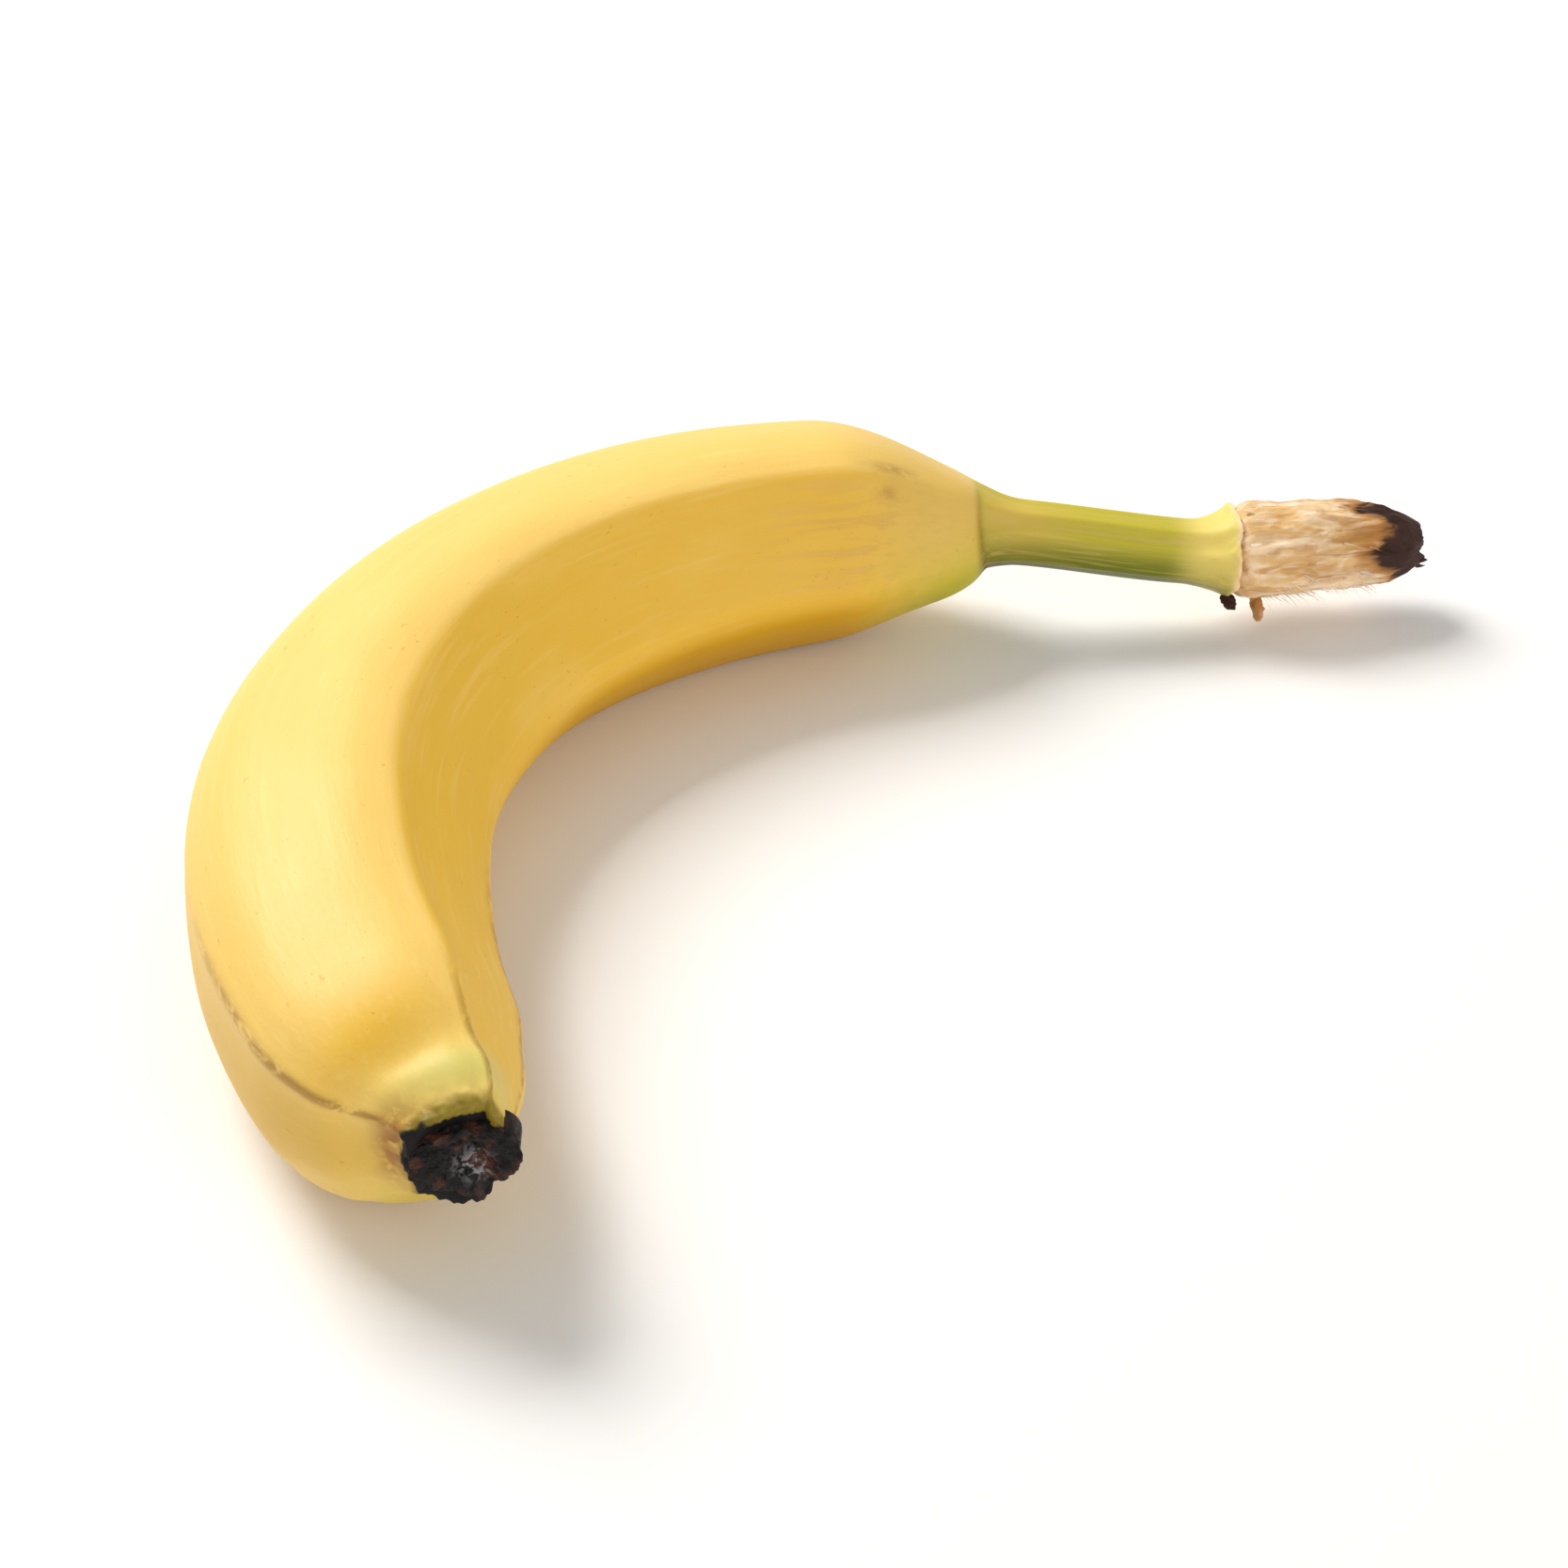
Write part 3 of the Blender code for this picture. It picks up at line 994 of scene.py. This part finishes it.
STRAND_STEPS = 7
STRAND_SIDES = 5
STRAND_SEED = 12
STRANDS = {
    # how many, root along the stump, spread round it, length, thickness, lift, paleness
    "fibre": (26, (0.006, 0.029), 0, (0.003, 0.007), (0.00014, 0.00026), (0.00, 0.16), 0.30),
    "fluff": (90, (0.010, 0.027), 40, (0.0016, 0.0034), (0.00012, 0.00020), (0.3, 1.0), 1.0),
    "spike": (4, (0.0016, 0.0034), 0, (0.0010, 0.0018), (0.0005, 0.0009), (-0.1, 0.3), 0.0),
    "rim": (10, (0.0300, 0.0312), 0, (0.0008, 0.0018), (0.0002, 0.0004), (0.0, 0.4), 0.4),
}
FLUFF_SIDE = 222
STRAND_SINK = 0.0003
SCRAPS = (
    # name, place along, direction round, length, radius, how withered
    ("collar_scrap_dark", 0.0318, 243.0, 0.0026, 0.0013, 0.85),
    ("collar_scrap_red", 0.0278, 236.0, 0.0044, 0.0012, 0.36),
)
SCRAP_WIDTHS = ((0, 0.8), (0.35, 1.0), (0.8, 0.75), (1, 0.45))
SCRAP_ROOT = 0.0010
STUMP_TOP = (70, 80)
STUMP_STAIN = (140, 30)
STUMP_STREAK = (172, 20)


def keep_fibre_regions(mesh, straight, deep, pale, lobes):
    """Keeps the fibres' tint and painted groove shade, and how pale, stained and withered they are,
    on their points.
    """
    along, around, _ = polar(straight)
    same = np.ones(len(straight))
    add_vector(mesh, "straight", straight)
    add_number(mesh, "deep", same * deep)
    add_number(mesh, "pale", same * pale)
    add_number(mesh, "stain", 2 * side(*STUMP_STAIN, around) * (1 - ramp(0.010, 0.026, along)))
    streak = side(*STUMP_STREAK, around) * (1 - ramp(0.006, 0.020, along))
    slanted = along - 0.0016 - 0.0034 * side(*STUMP_TOP, around) - 0.0030 * streak + 0.0025 * lobes
    add_number(mesh, "withered", 1.15 - 1.15 * ramp(-0.0010, 0.0120, slanted))


def make_torn_core(fruit, colours):
    """The torn stump inside the collar, furrowed along its fibres, with a withered tip."""
    first, last = STUMP_BARE[0][0], fruit.collar + STUMP_INSIDE[-1][0]
    count = int(round((last - first) / CORE_RING))
    places = np.linspace(first, last, count + 1)
    places = np.insert(places, 1, [first + 0.2 * CORE_RING, first + 0.5 * CORE_RING])
    radii = fruit.stump_radius(places)
    piece = straight_tube("torn_stump", list(places), list(radii), CORE_SIDES)
    apply_subdivision(piece, 2)
    co = coordinates(piece.data)
    along, around, reach = polar(co)
    lobes = noise_at(co, 0.0042, 2.0, 3, 41.0)
    furrows = noise_at(co, 0.0019, 5.0, 3, 47.0)
    bare = 1 - ramp(fruit.collar - 0.0035, fruit.collar - 0.0005, along)
    reach = reach * (1 + bare * (0.12 * lobes + 0.08 * furrows))
    tip = 1 - ramp(0.0, 0.007, along)
    along = along + tip * (0.0016 * lobes + 0.0012 * furrows)
    up = 1.04 * reach * np.sin(around) - fruit.droop(along)
    straight = np.stack([reach * np.cos(around), up, along], axis=1)
    # The grooves between the fibres get painted shade.
    keep_fibre_regions(piece.data, straight, ramp(0.0, -0.6, furrows), 0.0, lobes)
    bend_piece(fruit, piece, straight)
    return finish_piece(piece, fibre_material(colours))


def shape_strand(fruit, plain, kind, draw):
    """Lays one strand over the stump, in straight coordinates."""
    _, roots, spread, lengths, widths, lifts, _ = STRANDS[kind]
    share = plain[:, 2]
    middle = FLUFF_SIDE if kind == "fluff" else draw.uniform(0, 360)
    root = draw.uniform(*roots)
    angle = math.radians(middle + draw.uniform(-spread, spread))
    length, width, lift = draw.uniform(*lengths), draw.uniform(*widths), draw.uniform(*lifts)
    sway, curl = draw.uniform(-0.25, 0.25), draw.uniform(-1, 1)
    along = root - length * math.cos(lift) * share
    base = fruit.collar_reach() if kind == "rim" else fruit.stump_radius(root)
    floor = fruit.stump_radius(along) if kind == "fibre" else base
    reach = floor * 1.03 - STRAND_SINK + length * math.sin(lift) * share**1.4
    reach = reach + plain[:, 0] * width
    sideways = plain[:, 1] * width * (2.2 if kind == "rim" else 1.0)
    sideways = sideways + 0.25 * length * curl * np.sin(3.0 * share) * share
    around = angle + sway * share * length / 0.006 + sideways / np.maximum(reach, 0.002)
    up = reach * np.sin(around) - fruit.droop(along)
    return np.stack([reach * np.cos(around), up, along], axis=1)


def make_strands(fruit):
    """Loose fibres on the torn stump: one strand is modelled, copied, shaped and joined."""
    draw = random.Random(STRAND_SEED)
    steps = np.linspace(0, 1, STRAND_STEPS)
    widths = 0.5 * (1.05 - steps**2)
    pattern = straight_tube("torn_strands", list(steps), list(widths), STRAND_SIDES)
    plain = coordinates(pattern.data)
    strands = []
    for kind, (count, *_, pale) in STRANDS.items():
        for _ in range(count):
            select_only(pattern)
            bpy.ops.object.duplicate()
            strand = bpy.context.object
            straight = shape_strand(fruit, plain, kind, draw)
            keep_fibre_regions(strand.data, straight, 0.0, pale, 0.0)
            bend_piece(fruit, strand, straight)
            strands.append(strand)
    select_only(strands[0])
    for strand in strands:
        strand.select_set(True)
    bpy.ops.object.join()
    piece = bpy.context.object
    bpy.data.objects.remove(pattern)
    piece.name = "torn_strands"
    piece.data.name = "torn_strands"
    return finish_piece(piece, bpy.data.materials["torn_fibre"])


def make_scraps(fruit):
    """Two withered scraps of skin that hang under the collar."""
    for name, along, angle, length, radius, withered in SCRAPS:
        steps = np.linspace(0, 1, 9)
        scrap = straight_tube(name, list(steps), list(radius * smooth(SCRAP_WIDTHS, steps)), 12)
        apply_subdivision(scrap, 1)
        co = coordinates(scrap.data)
        lumps = noise_at(co * np.array([1, 1, length]), 0.0009, 1.0, 3, 71.0 + 10 * withered)
        co[:, :2] *= 1 + 0.45 * lumps[:, None]
        reach = fruit.collar_reach() - SCRAP_ROOT + length * (co[:, 2] + 0.06 * lumps)
        around = math.radians(angle) + co[:, 0] / fruit.sizes.collar_radius
        place = along + co[:, 1] * 0.8 - 0.0006 * co[:, 2]
        straight = np.stack([reach * np.cos(around), reach * np.sin(around), place], axis=1)
        keep_fibre_regions(scrap.data, straight, 0.6, 0.0, 0.0)
        dark = np.full(len(co), withered) + 0.15 * lumps
        scrap.data.attributes["withered"].data.foreach_set("value", dark.astype(np.float32))
        bend_piece(fruit, scrap, straight)
        finish_piece(scrap, bpy.data.materials["torn_fibre"])


BLOSSOM_INSIDE = 0.0030
BLOSSOM_STAND = 0.0012
BLOSSOM_RINGS = 9
BLOSSOM_SHARES = (0.86, 0.92)  # of the nub's radius, from its inside to its face
BLOSSOM_INSETS = 5
BLOSSOM_INSET = 0.0009
BLOSSOM_HOLLOW = 0.0022
BLOSSOM_TEETH = 0.0005
BLOSSOM_POINT = 0.0024
POINT_SIDE = (258, 14)
HEIGHT_ABOVE = 0.66  # the face is lower than it is wide, more so above its middle
HEIGHT_BELOW = 0.84
GLINT_PLACE = (-0.0008, -0.0006)
GLINT_SIZE = 0.0019


def make_blossom_end(fruit, colours):
    """The black, crumbled end of the nub, hollow in the middle."""
    first, last = fruit.end - BLOSSOM_INSIDE, fruit.end + BLOSSOM_STAND
    places = np.linspace(first, last, BLOSSOM_RINGS)
    radii = fruit.radius(places) * np.linspace(*BLOSSOM_SHARES, BLOSSOM_RINGS)
    piece = straight_tube("blossom_end", list(places), list(radii), CORE_SIDES)
    inset_end_face(piece, last, BLOSSOM_INSETS, BLOSSOM_INSET)
    apply_subdivision(piece, 2)
    co = coordinates(piece.data)
    along, around, reach = polar(co)
    crumbs = noise_at(co, 0.0016, 1.0, 4, 61.0)
    lumps = noise_at(co, 0.0038, 1.0, 2, 67.0)
    share = np.clip(reach / fruit.sizes.end_radius, 0, 1)
    outer = ramp(first + 0.0005, last, along)
    hollow = bump(0, 0.55, share) - 0.6 * bump(0, 0.20, share)
    along = along + outer * (0.0010 * lumps + 0.0008 * crumbs - BLOSSOM_HOLLOW * hollow)
    teeth = BLOSSOM_TEETH * ramp(0.2, 0.9, np.sin(5 * around + 3 * lumps))
    point = BLOSSOM_POINT * side(*POINT_SIDE, around)
    reach = reach * (1 + outer * (0.07 * crumbs + 0.07 * lumps))
    reach += outer * ramp(0.7, 1.0, share) * (teeth + point)
    up = reach * np.sin(around)
    up = np.where(up > 0, HEIGHT_ABOVE * up, HEIGHT_BELOW * up) + NUB_LEAN_UP
    straight = np.stack([reach * np.cos(around) - NUB_LEAN_IN, up, along], axis=1)
    add_vector(piece.data, "straight", straight)
    across = straight[:, 0] + NUB_LEAN_IN - GLINT_PLACE[0]
    glint = bump(0, GLINT_SIZE, np.hypot(across, straight[:, 1] - GLINT_PLACE[1]))
    add_number(piece.data, "glint", glint * outer)
    bend_piece(fruit, piece, straight)
    return finish_piece(piece, blossom_material(colours))


# ---- stage

# Turns and tilts are in radians. A light is its turn from the camera, tilt, distance, size, power
# and colour.
CAMERA_TURN = math.radians(-45.97)
CAMERA_TILT = math.radians(38.0)
CAMERA_DISTANCE = 0.3866
CAMERA_AIM = Vector((-0.0013, -0.0076, 0.0))
CAMERA_LENS = 60.47
CAMERA_SENSOR = 36.0
CAMERA_NEAREST = 0.01
KEY_LIGHT = (math.radians(-133), math.radians(48), 1.2, 0.58, 15.0, (1.0, 0.985, 0.96))
FILL_LIGHT = (math.radians(38), math.radians(24), 1.5, 1.1, 8.5, (1.0, 0.93, 0.84))
SKY_COLOUR = (1.0, 0.99, 0.98, 1.0)
SKY_STRENGTH = 0.46
FLOOR_SIZE = 8.0


def direction(turn, tilt):
    """Direction towards a viewer at this turn from -Y and this height, in radians."""
    return Vector(
        (math.sin(turn) * math.cos(tilt), -math.cos(turn) * math.cos(tilt), math.sin(tilt))
    )


def aim(thing, place, target):
    """Places a camera or a light so that it looks at the target."""
    thing.location = place
    thing.rotation_euler = (Vector(target) - Vector(place)).to_track_quat("-Z", "Y").to_euler()


def soft_light(name, turn, tilt, distance, size, watts, colour):
    """A square soft box at this turn from the camera, aimed at the fruit."""
    deselect_all()
    bpy.ops.object.light_add(type="AREA")
    lamp = bpy.context.object
    lamp.name = name
    lamp.data.shape = "SQUARE"
    lamp.data.size = size
    lamp.data.energy = watts
    lamp.data.color = colour
    aim(lamp, direction(CAMERA_TURN + turn, tilt) * distance, (0, 0, 0))


def make_stage(colours):
    """Pale floor, soft studio lights and the camera."""
    deselect_all()
    bpy.ops.mesh.primitive_plane_add(size=FLOOR_SIZE, location=(0, 0, 0))
    floor = bpy.context.object
    floor.name = "floor"
    floor.data.materials.append(floor_material(colours))
    soft_light("key_light", *KEY_LIGHT)
    soft_light("fill_light", *FILL_LIGHT)
    world = bpy.data.worlds.new("studio")
    bpy.context.scene.world = world
    world.use_nodes = True
    sky = world.node_tree.nodes["Background"]
    sky.inputs["Color"].default_value = SKY_COLOUR
    sky.inputs["Strength"].default_value = SKY_STRENGTH
    deselect_all()
    bpy.ops.object.camera_add()
    camera = bpy.context.object
    camera.name = "camera"
    camera.data.lens = CAMERA_LENS
    camera.data.sensor_width = CAMERA_SENSOR
    camera.data.clip_start = CAMERA_NEAREST
    aim(camera, CAMERA_AIM + direction(CAMERA_TURN, CAMERA_TILT) * CAMERA_DISTANCE, CAMERA_AIM)
    bpy.context.scene.camera = camera
    bpy.context.scene.view_settings.view_transform = "Standard"


# ---- operators and panel


class BANANA_OT_peel(bpy.types.Operator):
    """Model the skin of the fruit with its stem."""

    bl_idname = "banana.peel"
    bl_label = "Peel"

    def execute(self, context):
        make_peel(Fruit(context.scene.banana_sizes), context.scene.banana_colours)
        return {"FINISHED"}


class BANANA_OT_torn_end(bpy.types.Operator):
    """Model the torn end of the stem."""

    bl_idname = "banana.torn_end"
    bl_label = "Torn end"

    def execute(self, context):
        make_torn_core(Fruit(context.scene.banana_sizes), context.scene.banana_colours)
        return {"FINISHED"}


class BANANA_OT_strands(bpy.types.Operator):
    """Model the loose fibres and the hanging scraps of the torn end."""

    bl_idname = "banana.strands"
    bl_label = "Strands"

    def execute(self, context):
        make_strands(Fruit(context.scene.banana_sizes))
        make_scraps(Fruit(context.scene.banana_sizes))
        return {"FINISHED"}


class BANANA_OT_blossom_end(bpy.types.Operator):
    """Model the black blossom end."""

    bl_idname = "banana.blossom_end"
    bl_label = "Blossom end"

    def execute(self, context):
        make_blossom_end(Fruit(context.scene.banana_sizes), context.scene.banana_colours)
        return {"FINISHED"}


class BANANA_OT_stage(bpy.types.Operator):
    """Set up the floor, the lights and the camera."""

    bl_idname = "banana.stage"
    bl_label = "Stage"

    def execute(self, context):
        make_stage(context.scene.banana_colours)
        return {"FINISHED"}


class BANANA_PT_panel(bpy.types.Panel):
    """Lists the fruit's pieces and sizes."""

    bl_label = "Banana"
    bl_idname = "BANANA_PT_panel"
    bl_space_type = "VIEW_3D"
    bl_region_type = "UI"
    bl_category = "Banana"

    def draw(self, context):
        for operator in OPERATORS:
            self.layout.operator(operator.bl_idname)
        for group in (context.scene.banana_sizes, context.scene.banana_colours):
            box = self.layout.box()
            for name in group.__annotations__:
                box.prop(group, name)


OPERATORS = (
    BANANA_OT_peel,
    BANANA_OT_torn_end,
    BANANA_OT_strands,
    BANANA_OT_blossom_end,
    BANANA_OT_stage,
)
CLASSES = (BananaSizes, BananaColours, *OPERATORS, BANANA_PT_panel)


def register():
    """Registers the classes and the scene's properties."""
    for cls in CLASSES:
        bpy.utils.register_class(cls)
    bpy.types.Scene.banana_sizes = bpy.props.PointerProperty(type=BananaSizes)
    bpy.types.Scene.banana_colours = bpy.props.PointerProperty(type=BananaColours)


def unregister():
    """Takes the properties and classes away again."""
    del bpy.types.Scene.banana_colours
    del bpy.types.Scene.banana_sizes
    for cls in reversed(CLASSES):
        bpy.utils.unregister_class(cls)


def main():
    """Makes every piece."""
    register()
    bpy.ops.banana.peel()
    bpy.ops.banana.torn_end()
    bpy.ops.banana.strands()
    bpy.ops.banana.blossom_end()
    bpy.ops.banana.stage()


if __name__ == "__main__":
    main()
